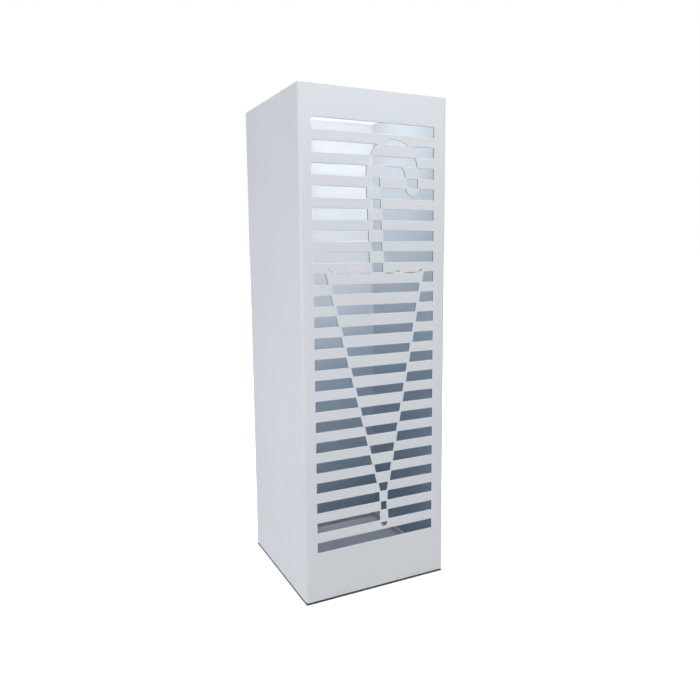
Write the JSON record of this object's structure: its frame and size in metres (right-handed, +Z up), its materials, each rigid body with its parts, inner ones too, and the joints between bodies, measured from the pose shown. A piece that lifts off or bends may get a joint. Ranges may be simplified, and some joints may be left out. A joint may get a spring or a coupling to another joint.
{
  "type": "umbrella stand",
  "caption": "Square column of folded sheet metal, open at the top, with a louvred front that shows an umbrella, a loose drip tray inside and thin anti-slip pads",
  "frame": {"origin": "on the ground, under the middle of the column: the bottom centre of the bounding box", "axes": "+Z up, the louvred front faces -Y, +X is to the right as seen from the front"},
  "size_m": [0.157, 0.157, 0.492],
  "materials": {
    "coated_shell": "satin white powder coat with a fine orange-peel texture",
    "coated_base": "satin white powder coat",
    "tray": "white moulded plastic, satin",
    "pad": "black closed-cell foam rubber, matt"
  },
  "bodies": {
    "stand": {"wrap_shell": "coated_shell", "base_plate": "coated_base", "foot_pad_front_left": "pad", "foot_pad_front_right": "pad", "foot_pad_rear_left": "pad", "foot_pad_rear_right": "pad"},
    "tray": {"drip_tray": "tray"}
  },
  "joints": [
    {"name": "tray_lift", "type": "slide", "parent": "stand", "child": "tray", "axis": [0, 0, 1], "range_m": [0, 0.5]}
  ]
}
